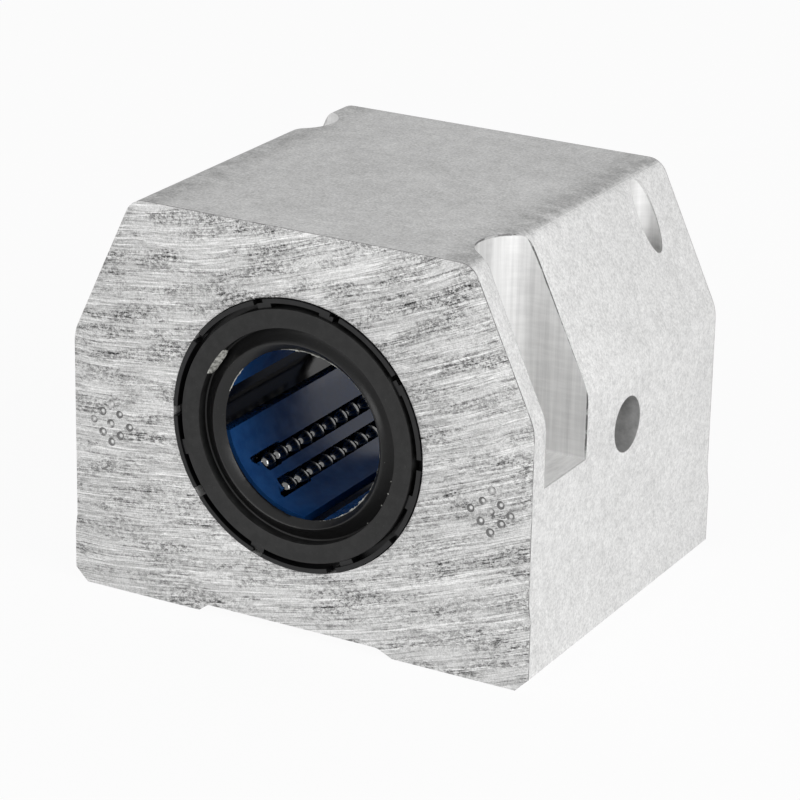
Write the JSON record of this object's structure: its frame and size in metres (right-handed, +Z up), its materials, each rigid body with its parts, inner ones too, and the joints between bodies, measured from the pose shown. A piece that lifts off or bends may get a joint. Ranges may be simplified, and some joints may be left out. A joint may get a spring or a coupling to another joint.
{
  "type": "linear bearing block",
  "caption": "Sloping-shouldered aluminium block holding a closed recirculating-ball linear bearing with wiper seals, bolted down from diagonal pockets.",
  "frame": {"origin": "middle of the base, under the middle of the block", "axes": "+X across the block towards the lubrication port, +Y along the shaft away from the sawn face in front, +Z up"},
  "size_m": [0.087, 0.0688, 0.07],
  "materials": {
    "block_aluminium": "extruded and tumbled, sawn end faces",
    "sleeve_plastic": "smooth moulded",
    "retainer_plastic": "smooth moulded",
    "plate_steel": "ground",
    "ball_steel": "polished",
    "ring_plastic": "moulded",
    "seal_rubber": "matte moulded"
  },
  "bodies": {
    "root": {"housing_block": "block_aluminium", "outer_sleeve": "sleeve_plastic", "ball_retainer_1": "retainer_plastic", "ball_retainer_2": "retainer_plastic", "ball_retainer_3": "retainer_plastic", "ball_retainer_4": "retainer_plastic", "load_plate_1": "plate_steel", "load_plate_2": "plate_steel", "load_plate_3": "plate_steel", "load_plate_4": "plate_steel", "ball_circuit_1": "ball_steel", "ball_circuit_2": "ball_steel", "ball_circuit_3": "ball_steel", "ball_circuit_4": "ball_steel", "ball_circuit_5": "ball_steel", "ball_circuit_6": "ball_steel", "ball_circuit_7": "ball_steel", "ball_circuit_8": "ball_steel", "end_ring_front": "ring_plastic", "end_ring_rear": "ring_plastic", "wiper_seal_front": "seal_rubber", "wiper_seal_rear": "seal_rubber"}
  },
  "joints": []
}
